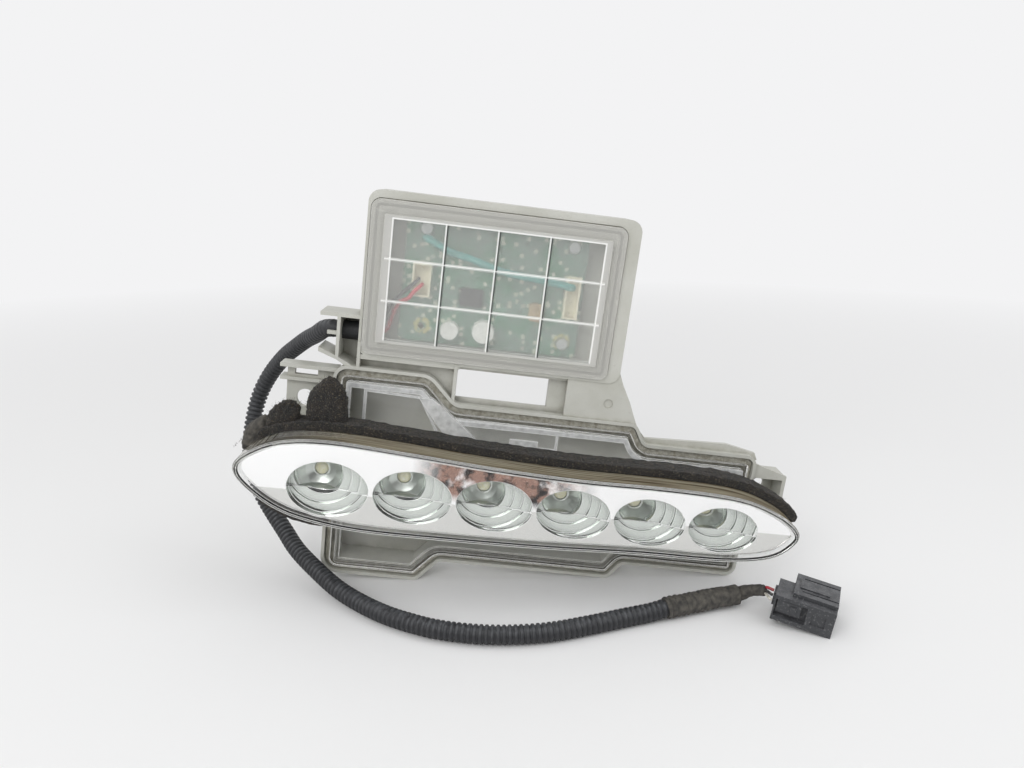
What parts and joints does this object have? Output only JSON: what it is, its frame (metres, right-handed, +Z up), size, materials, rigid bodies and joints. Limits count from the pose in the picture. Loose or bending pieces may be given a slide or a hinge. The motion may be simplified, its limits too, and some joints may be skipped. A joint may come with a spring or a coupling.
{
  "type": "daytime running light",
  "caption": "Long leaf-shaped car running light with six stepped mirror cups, a grey moulded housing, a clear-lidded driver bay above and a short cable with a plug.",
  "frame": {"origin": "centre of the lamp's bounding box on the floor that it stands on, without its cable", "axes": "+X along the lamp to its right end as seen from the front, +Y from the lens to the back, +Z up from the floor"},
  "size_m": [0.3387, 0.1372, 0.2212],
  "materials": {
    "grey_moulding": "moulded polypropylene, light grey",
    "clear_plastic": "clear moulded polycarbonate",
    "sealant": "butyl sealant",
    "mirror_chrome": "vacuum-metallised plastic",
    "circuit_board": "green solder mask",
    "light_chip": "yellow phosphor",
    "bare_aluminium": "cast and left bare",
    "zinc_steel": "zinc plated",
    "white_nylon": "natural nylon",
    "black_plastic": "moulded black plastic",
    "tan_plastic": "tan ceramic and plastic",
    "pale_can": "drawn can",
    "red_insulation": "extruded red insulation",
    "black_insulation": "extruded black insulation",
    "white_insulation": "extruded white insulation",
    "teal_insulation": "extruded teal insulation",
    "foam": "black open-cell foam, worn brown",
    "cloth_tape": "black cloth tape",
    "rubber": "moulded rubber",
    "conduit_plastic": "corrugated black nylon"
  },
  "bodies": {
    "root": {"housing": "grey_moulding", "outer_lens": "clear_plastic", "lens_sealant": "sealant", "reflector": "mirror_chrome", "led_board": "circuit_board", "led_1": "light_chip", "led_2": "light_chip", "led_3": "light_chip", "led_4": "light_chip", "led_5": "light_chip", "led_6": "light_chip", "heat_sink": "bare_aluminium", "sink_screw_1": "zinc_steel", "sink_screw_2": "zinc_steel", "driver_cover": "clear_plastic", "cover_sealant": "sealant", "driver_board": "circuit_board", "board_screw_1": "zinc_steel", "board_screw_2": "zinc_steel", "board_screw_3": "zinc_steel", "input_header": "white_nylon", "output_header": "white_nylon", "driver_ic": "black_plastic", "inductor": "tan_plastic", "capacitor_1": "pale_can", "capacitor_2": "pale_can", "input_wire_red": "red_insulation", "input_wire_black": "black_insulation", "led_lead": "teal_insulation", "foam_seal": "foam", "foam_seal_low": "foam", "foam_pad_tall": "foam", "foam_pad_low": "foam", "tape_wrap": "cloth_tape", "vent_cap": "rubber", "cable_grommet": "rubber", "conduit": "conduit_plastic", "end_tape": "cloth_tape", "neck_tape": "cloth_tape", "lead_red": "red_insulation", "lead_black": "black_insulation", "lead_white": "white_insulation", "plug_housing": "black_plastic", "plug_retainer": "black_plastic"}
  },
  "joints": []
}
